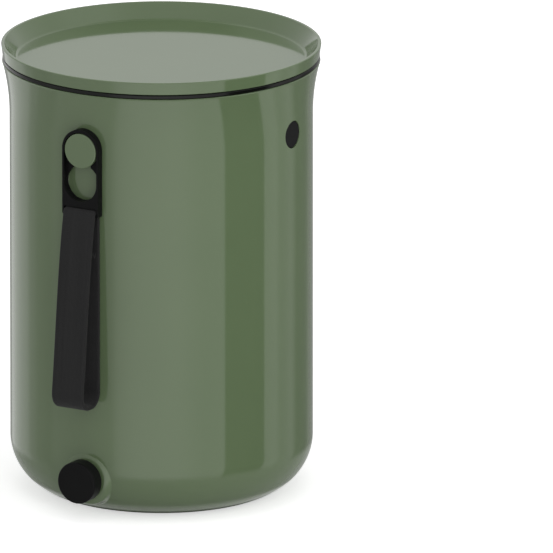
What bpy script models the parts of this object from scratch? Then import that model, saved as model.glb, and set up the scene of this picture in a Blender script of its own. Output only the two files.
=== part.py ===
"""Bokashi bin: a round pot with a dish-topped lid, a strainer, a hanging strap and a drain knob.

Metres, +Z up. The origin is the centre of the base, on the pot's axis. The front, with the
strap and the drain knob, faces -Y.
"""

import math

import bmesh
import bpy
from mathutils import Matrix

MM = 0.001
GAP = 0.3 * MM
MERGE = 0.002 * MM

# Pot
HEIGHT = 330 * MM
WALL_R = 108.8 * MM
WALL_T = 2.6 * MM
POT_TOP_Z = 317.5 * MM
FLARE_START_Z = 278 * MM
FLARE_R = 150 * MM
FOOT_ROUND_R = 40.7 * MM
FOOT_ROUND_Z = 39.6 * MM
FOOT_EDGE_Z = 1.6 * MM
FLOOR_TOP_Z = 5.4 * MM
FLOOR_RECESS_R = 76 * MM
FLOOR_RECESS_Z = 2.8 * MM
LIP_ROUND = 0.9 * MM

# Base pad
PAD_R = 77 * MM
PAD_T = 1.3 * MM
PAD_PLUG_R = 75.3 * MM
PAD_PLUG_Z = 2.5 * MM
PAD_CHAMFER = 0.5 * MM

# Lid
RIM_R = 115.16 * MM
RIM_INNER_R = 112.8 * MM
RIM_ROUND = 1.1 * MM
SKIRT_BOTTOM_R = 114 * MM
SKIRT_BOTTOM_Z = 320.9 * MM
SKIRT_T = 2.1 * MM
DISH_R = 104.6 * MM
DISH_Z = 318.6 * MM
DISH_ROUND = 3 * MM
DISH_SLOPE = 54
RIM_EDGE = 0.4 * MM
LID_T = 2.4 * MM
LID_GROOVE_R = 112.4 * MM
LID_GROOVE_Z = 326.2 * MM
LID_GROOVE_FOOT_Z = 320.9 * MM
LID_NECK_R = 107.8 * MM
LID_NECK_T = 2.4 * MM
LID_NECK_BOTTOM_Z = 306.5 * MM

# Seal between lid and pot
SEAL_R = 114.2 * MM
SEAL_TOP_Z = 320.5 * MM
SEAL_LIP_TOP_R = 110.7 * MM
SEAL_LIP_BOTTOM_R = 108.95 * MM
SEAL_EDGE = 0.3 * MM
SEAL_BOTTOM_Z = 309 * MM

# Strap stud and side plugs, all on one level
FITTING_Z = 275.8 * MM
STUD_HEAD_R = 12.9 * MM
STUD_HEAD_BACK = 112.3 * MM
STUD_HEAD_FRONT = 115.9 * MM
STUD_DOME = 0.3 * MM
STUD_NECK_R = 6.2 * MM
STUD_SHANK_R = 4 * MM
STUD_END = 96.5 * MM
PLUG_FACE_R = 9.8 * MM
PLUG_FACE = 108.7 * MM
PLUG_FLANGE_R = 13.5 * MM
PLUG_FLANGE_FACE = 105 * MM
PLUG_END = 102.6 * MM
PLUG_EDGE = 0.4 * MM
PLUG_HOLLOW_R = 7.5 * MM
PLUG_HOLLOW_END = 106 * MM
STUD_EDGE = 0.8 * MM
STUD_WASHER_R = 9 * MM
STUD_GASKET_FACE = 105.5 * MM
STUD_NUT_FACE = 103.7 * MM
STUD_NUT_BACK = 97.6 * MM
STUD_NUT_ACROSS = 13 * MM
NUT_FLANGE_T = 1.6 * MM

# Keyhole plate of the strap, measured from the stud's axis
PLATE_HALF_W = 14.8 * MM
PLATE_BACK = 109.9 * MM
PLATE_FRONT = 115.9 * MM
PLATE_TOP_UP = 0.9 * MM
PLATE_BOTTOM = -48.5 * MM
PLATE_CORNER = 2 * MM
RECESS_HALF_W = 13.4 * MM
RECESS_FLOOR = 111.9 * MM
KEYHOLE_R = 13.1 * MM
KEYHOLE_Z = -24 * MM
KEYSLOT_HALF_W = 6.5 * MM
BAR_R = 1.5 * MM
BAR_Z = -47 * MM
BAR_OUT = 113.9 * MM
STRAP_SLOT_TOP = -41.8 * MM
STRAP_SLOT_HALF_W = 13.3 * MM

# Webbing loop, measured from the bar's axis
WEB_HALF_W = 12.7 * MM
WEB_T = 2.8 * MM
WEB_BOTTOM = -140.6 * MM
WEB_REAR_ROUND = 9.4 * MM
WEB_FRONT_ROUND = 10.6 * MM
WEB_FRONT_OUT = 20.1 * MM
WEB_TOP_LEAN = math.radians(11.5)
WEB_BOTTOM_LEAN = math.radians(7.4)

# Drain knob and its bush, measured outward from the pot's axis
DRAIN_Z = 30.5 * MM
BOSS_R = 19.3 * MM
BOSS_FACE = 109.4 * MM
BOSS_WALL = 2.8 * MM
BOSS_CHAMFER = 0.8 * MM
BOSS_ROOT = 92 * MM
BOSS_POCKET_R = 16.7 * MM
BUSH_R = 8.9 * MM
BUSH_BORE_R = 6.3 * MM
BUSH_FLANGE_R = 11.8 * MM
BUSH_INNER = 91.2 * MM
BUSH_FLANGE_BACK = 111.3 * MM
BUSH_FLANGE_FRONT = 113.3 * MM
KNOB_R = 15.3 * MM
KNOB_BACK = 112.1 * MM
KNOB_FRONT = 122.7 * MM
KNOB_WALL = 2.1 * MM
KNOB_ROUND = 1 * MM
KNOB_EDGE = 0.4 * MM
CORE_R = 6 * MM
CORE_END = 88.6 * MM
CHANNEL_R = 2.4 * MM
PORT_R = 2.2 * MM
INLET_R = 3 * MM
INLET_AT = 96.2 * MM
OUTLET_AT = 116.9 * MM
SPOUT_R = 3.2 * MM
O_RING_AT = (108.2 * MM, 102.2 * MM)
O_RING_MAJOR_R = 5.15 * MM
O_RING_MINOR_R = 0.85 * MM
O_RING_GROOVE_R = 4 * MM
O_RING_GROOVE_HALF = 1.15 * MM
CLIP_AT = 90.1 * MM
CLIP_HALF_T = 0.4 * MM
CLIP_GROOVE_R = 4.8 * MM
CLIP_R = 8 * MM
CLIP_SWEEP = 300
SPIGOT_WASHER_R = 13.2 * MM
SPIGOT_NUT_FACE = 104.7 * MM
SPIGOT_NUT_BACK = 99.6 * MM
SPIGOT_NUT_ACROSS = 22.5 * MM

# Strainer
STRAINER_R = 104.4 * MM
STRAINER_Z = 50 * MM
STRAINER_T = 2.4 * MM
LEG_R = 6 * MM
LEG_CIRCLE_R = 62 * MM
LEG_COUNT = 4
DRAIN_HOLE_R = 3 * MM
FIRST_HOLE_RING_R = 14 * MM
HOLE_RING_STEP = 19 * MM
HOLE_RINGS = 5
HOLES_IN_FIRST_RING = 4
HOLES_ADDED_PER_RING = 4
HOLE_SIDES = 6
HOLE_SPACING = 2 * MM
FINGER_HOLE_R = 10 * MM
FINGER_HOLE_X = 38 * MM

# Facets round a turned piece
ROUND_LARGE = 60
ROUND_SMALL = 24
ROUND_TINY = 16
ROUND_PIN = 12
FACET_TWIST = math.radians(2.9)

GREEN = (0.170, 0.220, 0.145, 1)
DARK_PLASTIC = (0.012, 0.012, 0.012, 1)
DARK_RUBBER = (0.016, 0.017, 0.016, 1)
DARK_WEBBING = (0.023, 0.023, 0.023, 1)
STEEL = (0.560, 0.560, 0.550, 1)


def clear_scene():
    for item in list(bpy.context.scene.objects):
        bpy.data.objects.remove(item, do_unlink=True)


def make_material(name, colour, roughness, metallic=0.0):
    """A plain Principled finish for one piece."""
    material = bpy.data.materials.new(name)
    material.use_nodes = True
    shader = material.node_tree.nodes["Principled BSDF"]
    shader.inputs["Base Color"].default_value = colour
    shader.inputs["Roughness"].default_value = roughness
    shader.inputs["Metallic"].default_value = metallic
    return material


def finish_mesh(mesh, smooth_angle=35):
    mesh.shade_smooth()
    mesh.set_sharp_from_angle(angle=math.radians(smooth_angle))


def new_object(name, bm, finish):
    """Turn a bmesh into a named object; finish is (colour, roughness, metallic)."""
    bmesh.ops.recalc_face_normals(bm, faces=bm.faces)
    mesh = bpy.data.meshes.new(name)
    bm.to_mesh(mesh)
    bm.free()
    item = bpy.data.objects.new(name, mesh)
    bpy.context.scene.collection.objects.link(item)
    mesh.materials.append(make_material(name, *finish))
    finish_mesh(mesh)
    return item


def new_axis(name, location):
    """An empty that marks a joint's axis and carries what moves on it."""
    empty = bpy.data.objects.new(name, None)
    empty.location = location
    bpy.context.scene.collection.objects.link(empty)
    return empty


def attach(item, parent):
    """Parent an item and keep it where it is."""
    bpy.context.view_layer.update()
    item.parent = parent
    item.matrix_parent_inverse = parent.matrix_world.inverted()


def face_front(item, height, out=0.0):
    """Turn an item's own +Z to the front (-Y), on the axis at this height."""
    item.rotation_euler = (math.pi / 2, 0, 0)
    item.location = (0, -out, height)


def face_side(item, height, sign):
    """Turn an item's own +Z to one side (+X or -X), on the axis at this height."""
    item.rotation_euler = (0, sign * math.pi / 2, 0)
    item.location = (0, 0, height)


def arc(centre, radius, start, end, steps):
    """Points on an arc in degrees, both ends included."""
    points = []
    for i in range(steps + 1):
        angle = math.radians(start + (end - start) * i / steps)
        points.append((centre[0] + radius * math.cos(angle), centre[1] + radius * math.sin(angle)))
    return points


def turned_bmesh(profile, steps, closed=False, sweep=math.tau):
    """Spin a profile of (radius, height) points round Z, with a flat facet facing -Y."""
    bm = bmesh.new()
    start = math.pi / steps
    verts = [bm.verts.new((radius * math.cos(start), radius * math.sin(start), height))
             for radius, height in profile]
    pairs = list(zip(verts, verts[1:]))
    if closed:
        pairs.append((verts[-1], verts[0]))
    edges = [bm.edges.new(pair) for pair in pairs]
    full = abs(sweep - math.tau) < 1e-6
    if not full:
        bm.faces.new(verts)
    bmesh.ops.spin(bm, geom=verts + edges, cent=(0, 0, 0), axis=(0, 0, 1), angle=sweep,
                   steps=steps, use_merge=full)
    bmesh.ops.remove_doubles(bm, verts=bm.verts, dist=MERGE)
    if not full:
        bmesh.ops.holes_fill(bm, edges=[edge for edge in bm.edges if edge.is_boundary])
    return bm


def turned(name, profile, finish, steps=ROUND_SMALL, closed=False, sweep=math.tau):
    return new_object(name, turned_bmesh(profile, steps, closed, sweep), finish)


def tube_profile(inner_r, outer_r, low, high):
    return [(inner_r, low), (outer_r, low), (outer_r, high), (inner_r, high)]


def rod_bmesh(radius, low, high, steps=ROUND_SMALL, at=(0, 0), bm=None):
    """A plain rod along Z, added to a bmesh if one is given."""
    bm = bm or bmesh.new()
    place = Matrix.Translation((at[0], at[1], (low + high) / 2))
    bmesh.ops.create_cone(bm, cap_ends=True, segments=steps, radius1=radius, radius2=radius,
                          depth=high - low, matrix=place)
    return bm


def prism_bmesh(outline, low, high):
    """Extrude a flat outline of (x, y) points from low to high along Z."""
    bm = bmesh.new()
    base = bm.faces.new([bm.verts.new((x, y, low)) for x, y in outline])
    grown = bmesh.ops.extrude_face_region(bm, geom=[base])
    top = [part for part in grown["geom"] if isinstance(part, bmesh.types.BMVert)]
    bmesh.ops.translate(bm, verts=top, vec=(0, 0, high - low))
    return bm


def weld_slivers(mesh):
    """Close the hair-thin faces that a cut can leave along an edge."""
    bm = bmesh.new()
    bm.from_mesh(mesh)
    bmesh.ops.remove_doubles(bm, verts=bm.verts, dist=MERGE)
    bmesh.ops.dissolve_degenerate(bm, edges=bm.edges, dist=MERGE)
    bm.to_mesh(mesh)
    bm.free()


def combine(target, bm, operation):
    """Cut a shape from the target, or join it on; the shape is in the target's own axes."""
    bmesh.ops.recalc_face_normals(bm, faces=bm.faces)
    mesh = bpy.data.meshes.new("tool")
    bm.to_mesh(mesh)
    bm.free()
    tool = bpy.data.objects.new("tool", mesh)
    bpy.context.scene.collection.objects.link(tool)
    tool.hide_render = True
    tool.display_type = "WIRE"
    tool.matrix_world = target.matrix_world
    modifier = target.modifiers.new("combine", "BOOLEAN")
    modifier.operation = operation
    modifier.solver = "EXACT"
    modifier.object = tool
    bpy.context.view_layer.update()
    evaluated = target.evaluated_get(bpy.context.evaluated_depsgraph_get())
    result = bpy.data.meshes.new_from_object(evaluated)
    weld_slivers(result)
    target.modifiers.remove(modifier)
    former = target.data
    result.name = former.name
    target.data = result
    bpy.data.meshes.remove(former)
    bpy.data.objects.remove(tool, do_unlink=True)
    bpy.data.meshes.remove(mesh)
    finish_mesh(result)


def cut(target, bm):
    combine(target, bm, "DIFFERENCE")


def join(target, bm):
    combine(target, bm, "UNION")


def moved(bm, x=0.0, y=0.0, z=0.0):
    bmesh.ops.translate(bm, verts=bm.verts, vec=(x, y, z))
    return bm


def laid_along(bm, axis):
    """Lay a shape that was made along +Z along -X, +X or -Y instead.

    The small twist keeps its facets from lining up with those of the piece that it meets.
    """
    turn = {
        "-X": Matrix.Rotation(-math.pi / 2, 3, "Y"),
        "+X": Matrix.Rotation(math.pi / 2, 3, "Y"),
        "-Y": Matrix.Rotation(math.pi / 2, 3, "X"),
    }[axis] @ Matrix.Rotation(FACET_TWIST, 3, "Z")
    bmesh.ops.rotate(bm, cent=(0, 0, 0), matrix=turn, verts=bm.verts)
    return bm


def flare_offset(z):
    """How far the mouth's flare stands out from the straight wall at a height."""
    rise = max(0.0, z - FLARE_START_Z)
    return FLARE_R - math.sqrt(FLARE_R ** 2 - rise ** 2)


# Pot and base

def foot_round(radius, lowest_z, steps):
    """The rounded foot, from its lowest point up to the straight wall."""
    start = -math.degrees(math.asin((FOOT_ROUND_Z - lowest_z) / radius))
    return arc((WALL_R - FOOT_ROUND_R, FOOT_ROUND_Z), radius, start, 0, steps)


def flared_wall(inset, top_z, steps):
    """Wall points up the flare, inset from the outer surface."""
    points = []
    for i in range(steps + 1):
        z = FLARE_START_Z + (top_z - FLARE_START_Z) * i / steps
        points.append((WALL_R - inset + flare_offset(z), z))
    return points


def build_bucket_shell():
    lip_r = WALL_R + flare_offset(POT_TOP_Z)
    outside = [(0, FLOOR_RECESS_Z), (FLOOR_RECESS_R, FLOOR_RECESS_Z), (FLOOR_RECESS_R, FOOT_EDGE_Z)]
    outside += foot_round(FOOT_ROUND_R, FOOT_EDGE_Z, 6)
    outside += flared_wall(0, POT_TOP_Z - LIP_ROUND, 5)
    outside += arc((lip_r - LIP_ROUND, POT_TOP_Z - LIP_ROUND), LIP_ROUND, 30, 90, 2)
    outside += [(0, POT_TOP_Z)]
    shell = turned("bucket_shell", outside, (GREEN, 0.2, 0.0), ROUND_LARGE)

    boss = turned_bmesh([
        (0, BOSS_FACE), (BOSS_R - BOSS_CHAMFER, BOSS_FACE), (BOSS_R, BOSS_FACE - BOSS_CHAMFER),
        (BOSS_R, BOSS_ROOT), (0, BOSS_ROOT)], ROUND_SMALL)
    join(shell, moved(laid_along(boss, "-Y"), z=DRAIN_Z))

    inside = [(0, FLOOR_TOP_Z)]
    inside += foot_round(FOOT_ROUND_R - WALL_T, FLOOR_TOP_Z, 4)
    inside += flared_wall(WALL_T, POT_TOP_Z - LIP_ROUND, 3)
    inside += [(lip_r - WALL_T + LIP_ROUND, POT_TOP_Z + LIP_ROUND), (0, POT_TOP_Z + LIP_ROUND)]
    cut(shell, turned_bmesh(inside, ROUND_LARGE))

    pocket = rod_bmesh(BOSS_POCKET_R, BOSS_ROOT - BOSS_R, BOSS_FACE - BOSS_WALL)
    cut(shell, moved(laid_along(pocket, "-Y"), z=DRAIN_Z))
    through = (WALL_R - 2 * BOSS_R, WALL_R + BOSS_R)
    cut(shell, moved(laid_along(rod_bmesh(BUSH_R + GAP, *through), "-Y"), z=DRAIN_Z))
    cut(shell, moved(laid_along(rod_bmesh(STUD_SHANK_R + GAP, *through), "-Y"), z=FITTING_Z))
    for side in ("-X", "+X"):
        hole = rod_bmesh(PLUG_FACE_R + GAP, *through)
        cut(shell, moved(laid_along(hole, side), z=FITTING_Z))
    return shell


def build_base_pad():
    return turned("base_pad", [
        (0, 0), (PAD_R - PAD_CHAMFER, 0), (PAD_R, PAD_CHAMFER), (PAD_R, PAD_T), (PAD_PLUG_R, PAD_T),
        (PAD_PLUG_R, PAD_PLUG_Z), (0, PAD_PLUG_Z)], (DARK_RUBBER, 0.6, 0.0), ROUND_LARGE)


def build_side_plug(name, sign):
    """A blanking plug pushed in from inside, its face flush with the wall."""
    plug = turned(name, [
        (0, PLUG_FACE), (PLUG_FACE_R - PLUG_EDGE, PLUG_FACE), (PLUG_FACE_R, PLUG_FACE - PLUG_EDGE),
        (PLUG_FACE_R, PLUG_FLANGE_FACE), (PLUG_FLANGE_R, PLUG_FLANGE_FACE), (PLUG_FLANGE_R, PLUG_END),
        (PLUG_HOLLOW_R, PLUG_END), (PLUG_HOLLOW_R, PLUG_HOLLOW_END), (0, PLUG_HOLLOW_END)],
        (DARK_RUBBER, 0.5, 0.0))
    face_side(plug, FITTING_Z, sign)
    return plug


# Lid

def build_lid_cover():
    rim_centre = (RIM_R - RIM_ROUND, HEIGHT - RIM_ROUND)
    inner_r = LID_NECK_R - LID_NECK_T
    flat_r = DISH_R - DISH_ROUND * math.tan(math.radians(DISH_SLOPE / 2))
    profile = [(0, DISH_Z)]
    profile += arc((flat_r, DISH_Z + DISH_ROUND), DISH_ROUND, -90, DISH_SLOPE - 90, 4)
    profile += arc((RIM_INNER_R + RIM_EDGE, HEIGHT - RIM_EDGE), RIM_EDGE, 135, 90, 2)
    profile += arc(rim_centre, RIM_ROUND, 80, 5, 4)
    profile += [
        (SKIRT_BOTTOM_R, SKIRT_BOTTOM_Z), (SKIRT_BOTTOM_R - SKIRT_T, SKIRT_BOTTOM_Z),
        (LID_GROOVE_R, LID_GROOVE_Z), (LID_NECK_R, LID_GROOVE_FOOT_Z), (LID_NECK_R, LID_NECK_BOTTOM_Z),
        (inner_r, LID_NECK_BOTTOM_Z), (inner_r, DISH_Z - LID_T), (0, DISH_Z - LID_T)]
    return turned("lid_cover", profile, (GREEN, 0.2, 0.0), ROUND_LARGE)


def build_lid_seal():
    """A rubber ring round the lid's neck, with the flange that shows below the skirt."""
    inner_r = LID_NECK_R + GAP
    flange_z = POT_TOP_Z + GAP
    return turned("lid_seal", [
        (inner_r, SEAL_BOTTOM_Z), (inner_r, SEAL_TOP_Z), (SEAL_R - SEAL_EDGE, SEAL_TOP_Z),
        (SEAL_R, SEAL_TOP_Z - SEAL_EDGE), (SEAL_R, flange_z + SEAL_EDGE),
        (SEAL_R - SEAL_EDGE, flange_z), (SEAL_LIP_TOP_R + 2 * SEAL_EDGE, flange_z),
        (SEAL_LIP_TOP_R, flange_z - 3 * SEAL_EDGE),
        (SEAL_LIP_BOTTOM_R, SEAL_BOTTOM_Z)], (DARK_RUBBER, 0.35, 0.0), ROUND_LARGE, closed=True)


# Strainer

def strainer_holes():
    """Centres of the drain holes, in rings, clear of the legs and the finger holes."""
    keep_out = [(*centre, LEG_R) for centre in leg_centres()]
    keep_out += [(sign * FINGER_HOLE_X, 0, FINGER_HOLE_R) for sign in (-1, 1)]
    centres = []
    for ring in range(HOLE_RINGS):
        radius = FIRST_HOLE_RING_R + ring * HOLE_RING_STEP
        count = HOLES_IN_FIRST_RING + ring * HOLES_ADDED_PER_RING
        for i in range(count):
            angle = math.tau * i / count
            x = radius * math.cos(angle)
            y = radius * math.sin(angle)
            clear = all(math.hypot(x - kx, y - ky) > kr + DRAIN_HOLE_R + HOLE_SPACING
                        for kx, ky, kr in keep_out)
            if clear:
                centres.append((x, y))
    return centres


def leg_centres():
    centres = []
    for i in range(LEG_COUNT):
        angle = math.tau * (i + 0.5) / LEG_COUNT
        centres.append((LEG_CIRCLE_R * math.cos(angle), LEG_CIRCLE_R * math.sin(angle)))
    return centres


def build_strainer():
    top = STRAINER_Z + STRAINER_T
    strainer = turned("strainer", [
        (0, STRAINER_Z), (STRAINER_R, STRAINER_Z), (STRAINER_R, top), (0, top)],
        (DARK_PLASTIC, 0.45, 0.0), ROUND_LARGE)
    legs = bmesh.new()
    for centre in leg_centres():
        rod_bmesh(LEG_R, FLOOR_TOP_Z + GAP, STRAINER_Z + STRAINER_T / 2, ROUND_PIN, centre, legs)
    join(strainer, legs)
    holes = bmesh.new()
    reach = (STRAINER_Z - STRAINER_T, top + STRAINER_T)
    for centre in strainer_holes():
        rod_bmesh(DRAIN_HOLE_R, *reach, HOLE_SIDES, centre, holes)
    for sign in (-1, 1):
        rod_bmesh(FINGER_HOLE_R, *reach, ROUND_TINY, (sign * FINGER_HOLE_X, 0), holes)
    cut(strainer, holes)
    return strainer


# Fasteners

def build_ring(name, inner_r, outer_r, low, high, finish, steps=ROUND_SMALL):
    """A washer or gasket on the axis that it is later turned to."""
    return turned(name, tube_profile(inner_r, outer_r, low, high), finish, steps, closed=True)


def build_nut(name, bore_r, flange_r, across, low, high, finish):
    """A hexagon nut with a round flange on its outer face."""
    corner_r = across / math.sqrt(3)
    hexagon = arc((0, 0), corner_r, 0, 300, 5)
    nut = new_object(name, prism_bmesh(hexagon, low, high - NUT_FLANGE_T / 2), finish)
    join(nut, rod_bmesh(flange_r, high - NUT_FLANGE_T, high))
    cut(nut, rod_bmesh(bore_r, low - NUT_FLANGE_T, high + NUT_FLANGE_T))
    return nut


# Strap

def build_strap_stud():
    edge = STUD_EDGE
    profile = [
        (0, STUD_END), (STUD_SHANK_R - edge / 2, STUD_END), (STUD_SHANK_R, STUD_END + edge / 2),
        (STUD_SHANK_R, WALL_R + GAP), (STUD_NECK_R, WALL_R + GAP), (STUD_NECK_R, STUD_HEAD_BACK),
        (STUD_HEAD_R - edge / 2, STUD_HEAD_BACK), (STUD_HEAD_R, STUD_HEAD_BACK + edge / 2)]
    profile += arc((STUD_HEAD_R - edge, STUD_HEAD_FRONT - edge), edge, 0, 90, 4)
    profile += [(STUD_HEAD_R / 2, STUD_HEAD_FRONT + STUD_DOME * 0.75), (0, STUD_HEAD_FRONT + STUD_DOME)]
    return turned("strap_stud", profile, (GREEN, 0.25, 0.0))


def plate_outline():
    corner = PLATE_CORNER
    low = PLATE_BOTTOM + corner
    side = PLATE_HALF_W - corner
    outline = arc((0, PLATE_TOP_UP), PLATE_HALF_W, 0, 180, 18)
    outline += arc((-side, low), corner, 180, 270, 3)
    outline += arc((side, low), corner, 270, 360, 3)
    return outline


def stadium(half_width, top_y, bottom_y, steps=10):
    return (arc((0, top_y), half_width, 0, 180, steps) +
            arc((0, bottom_y), half_width, 180, 360, steps))


def build_strap_bracket():
    plate = new_object("strap_bracket", prism_bmesh(plate_outline(), PLATE_BACK, PLATE_FRONT),
                       (DARK_PLASTIC, 0.4, 0.0))
    behind = PLATE_BACK - PLATE_CORNER
    beyond = PLATE_FRONT + PLATE_CORNER
    cut(plate, prism_bmesh(stadium(RECESS_HALF_W, 0, KEYHOLE_Z), RECESS_FLOOR, beyond))
    cut(plate, moved(rod_bmesh(KEYHOLE_R, behind, beyond), y=KEYHOLE_Z))
    cut(plate, prism_bmesh(stadium(KEYSLOT_HALF_W, 0, KEYHOLE_Z), behind, beyond))
    half_w = STRAP_SLOT_HALF_W
    window = [(-half_w, 2 * PLATE_BOTTOM), (half_w, 2 * PLATE_BOTTOM),
              (half_w, STRAP_SLOT_TOP), (-half_w, STRAP_SLOT_TOP)]
    cut(plate, prism_bmesh(window, behind, beyond))
    half_bar = (STRAP_SLOT_HALF_W + PLATE_HALF_W) / 2
    bar = rod_bmesh(BAR_R, -half_bar, half_bar, ROUND_TINY)
    join(plate, moved(laid_along(bar, "+X"), y=BAR_Z, z=BAR_OUT))
    return plate


def bezier(start, start_pull, end_pull, end, steps):
    """Points on a cubic curve, without its first and last point."""
    points = []
    for i in range(1, steps):
        t = i / steps
        weights = ((1 - t) ** 3, 3 * t * (1 - t) ** 2, 3 * t ** 2 * (1 - t), t ** 3)
        points.append(tuple(sum(w * p[k] for w, p in zip(weights, (start, start_pull, end_pull, end)))
                            for k in (0, 1)))
    return points


def webbing_path():
    """The loop's middle line as (outward, up) points from the bar's axis.

    It runs down the rear, round the bottom, up the front and over the bar.
    """
    wrap_r = BAR_R + GAP + WEB_T / 2
    rear_centre = (-wrap_r + WEB_REAR_ROUND, WEB_BOTTOM + WEB_REAR_ROUND)
    front_centre = (WEB_FRONT_OUT - WEB_FRONT_ROUND, WEB_BOTTOM + WEB_FRONT_ROUND)
    top_lean = math.degrees(WEB_TOP_LEAN)
    bottom_lean = math.degrees(WEB_BOTTOM_LEAN)
    rear = [(-wrap_r, share * WEB_BOTTOM) for share in (0.25, 0.5, 0.75)]
    rear += arc(rear_centre, WEB_REAR_ROUND, 180, 270, 5)
    front_start = arc(front_centre, WEB_FRONT_ROUND, 270, 360 + bottom_lean, 6)
    wrap = arc((0, 0), wrap_r, top_lean, 180, 8)
    low, high = front_start[-1], wrap[0]
    pull = (high[1] - low[1]) / 3
    low_pull = (low[0] - pull * math.tan(WEB_BOTTOM_LEAN), low[1] + pull)
    high_pull = (high[0] + pull * math.tan(WEB_TOP_LEAN), high[1] - pull)
    return rear + front_start + bezier(low, low_pull, high_pull, high, 8) + wrap


def build_strap_webbing():
    """A flat band swept round the loop, with its width along X."""
    path = webbing_path()
    half_t = WEB_T / 2
    bm = bmesh.new()
    rings = []
    for i, point in enumerate(path):
        before = path[i - 1]
        after = path[(i + 1) % len(path)]
        run = math.hypot(after[0] - before[0], after[1] - before[1])
        inward = (-(after[1] - before[1]) / run, (after[0] - before[0]) / run)
        ring = []
        for side, offset in ((-1, -half_t), (1, -half_t), (1, half_t), (-1, half_t)):
            out = point[0] + inward[0] * offset
            up = point[1] + inward[1] * offset
            ring.append(bm.verts.new((side * WEB_HALF_W, up, out)))
        rings.append(ring)
    for i, ring in enumerate(rings):
        following = rings[(i + 1) % len(rings)]
        for k in range(4):
            bm.faces.new((ring[k], ring[(k + 1) % 4], following[(k + 1) % 4], following[k]))
    return new_object("strap_webbing", bm, (DARK_WEBBING, 0.9, 0.0))


# Drain

def build_spigot_body():
    """The flanged bush that the knob's core turns in, with its inlet on the underside."""
    body = turned("spigot_body", [
        (BUSH_BORE_R, BUSH_INNER), (BUSH_R, BUSH_INNER), (BUSH_R, BUSH_FLANGE_BACK),
        (BUSH_FLANGE_R, BUSH_FLANGE_BACK), (BUSH_FLANGE_R, BUSH_FLANGE_FRONT),
        (BUSH_BORE_R, BUSH_FLANGE_FRONT)], (DARK_PLASTIC, 0.5, 0.0), closed=True)
    inlet = rod_bmesh(INLET_R, CORE_R / 2, BUSH_R * 2, ROUND_PIN)
    cut(body, moved(laid_along(inlet, "-Y"), z=INLET_AT))
    return body


def groove(at, half, floor_r):
    """Profile points of a groove in the knob's core, from inside the pot outward."""
    return [(CORE_R, at - half), (floor_r, at - half), (floor_r, at + half), (CORE_R, at + half)]


def build_spigot_knob():
    """Cap and core in one; the channel's ports face left when shut and down when open."""
    edge = KNOB_EDGE
    profile = [(0, CORE_END), (CORE_R - edge, CORE_END), (CORE_R, CORE_END + edge)]
    profile += groove(CLIP_AT, CLIP_HALF_T + GAP, CLIP_GROOVE_R)
    for at in sorted(O_RING_AT):
        profile += groove(at, O_RING_GROOVE_HALF, O_RING_GROOVE_R)
    cap_r = KNOB_R - KNOB_WALL
    cap_front = KNOB_FRONT - KNOB_WALL
    profile += [(CORE_R, cap_front), (cap_r, cap_front), (cap_r, KNOB_BACK),
                (KNOB_R - edge, KNOB_BACK), (KNOB_R, KNOB_BACK + edge)]
    profile += arc((KNOB_R - KNOB_ROUND, KNOB_FRONT - KNOB_ROUND), KNOB_ROUND, 0, 90, 4)
    profile += [(0, KNOB_FRONT)]
    knob = turned("spigot_knob", profile, (DARK_PLASTIC, 0.35, 0.0))
    spout = rod_bmesh(SPOUT_R, CHANNEL_R, KNOB_R - KNOB_WALL / 2, ROUND_TINY)
    join(knob, moved(laid_along(spout, "-X"), z=OUTLET_AT))
    cut(knob, rod_bmesh(CHANNEL_R, INLET_AT - CHANNEL_R, OUTLET_AT + CHANNEL_R / 2, ROUND_PIN))
    outlet = rod_bmesh(PORT_R, 0, 2 * KNOB_R, ROUND_PIN)
    cut(knob, moved(laid_along(outlet, "-X"), z=OUTLET_AT))
    inlet = rod_bmesh(PORT_R, 0, 2 * CORE_R, ROUND_PIN)
    cut(knob, moved(laid_along(inlet, "-X"), z=INLET_AT))
    return knob


def build_o_ring(name, at):
    circle = arc((O_RING_MAJOR_R, at), O_RING_MINOR_R, 0, 300, 5)
    return turned(name, circle, (DARK_RUBBER, 0.5, 0.0), ROUND_TINY, closed=True)


def build_knob_clip():
    """An open spring clip in the groove at the core's end."""
    section = tube_profile(CLIP_GROOVE_R + GAP, CLIP_R, CLIP_AT - CLIP_HALF_T, CLIP_AT + CLIP_HALF_T)
    return turned("knob_clip", section, (STEEL, 0.35, 1.0), ROUND_TINY, closed=True,
                  sweep=math.radians(CLIP_SWEEP))


def build_drain():
    fixed = [
        build_spigot_body(),
        build_ring("spigot_gasket", BUSH_R + GAP, BUSH_FLANGE_R, BOSS_FACE + GAP,
                   BUSH_FLANGE_BACK - GAP, (DARK_RUBBER, 0.6, 0.0)),
        build_ring("spigot_washer", BUSH_R + GAP, SPIGOT_WASHER_R, SPIGOT_NUT_FACE + GAP,
                   BOSS_FACE - BOSS_WALL - GAP, (DARK_RUBBER, 0.6, 0.0)),
        build_nut("spigot_nut", BUSH_R + GAP, SPIGOT_WASHER_R, SPIGOT_NUT_ACROSS, SPIGOT_NUT_BACK,
                  SPIGOT_NUT_FACE, (DARK_PLASTIC, 0.5, 0.0)),
    ]
    turning = [build_spigot_knob(), build_knob_clip()]
    turning += [build_o_ring(name, at) for name, at in
                zip(("knob_o_ring_outer", "knob_o_ring_inner"), O_RING_AT)]
    axis = new_axis("axis_knob", (0, 0, DRAIN_Z))
    for item in fixed + turning:
        face_front(item, DRAIN_Z)
    for item in turning:
        attach(item, axis)


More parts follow.
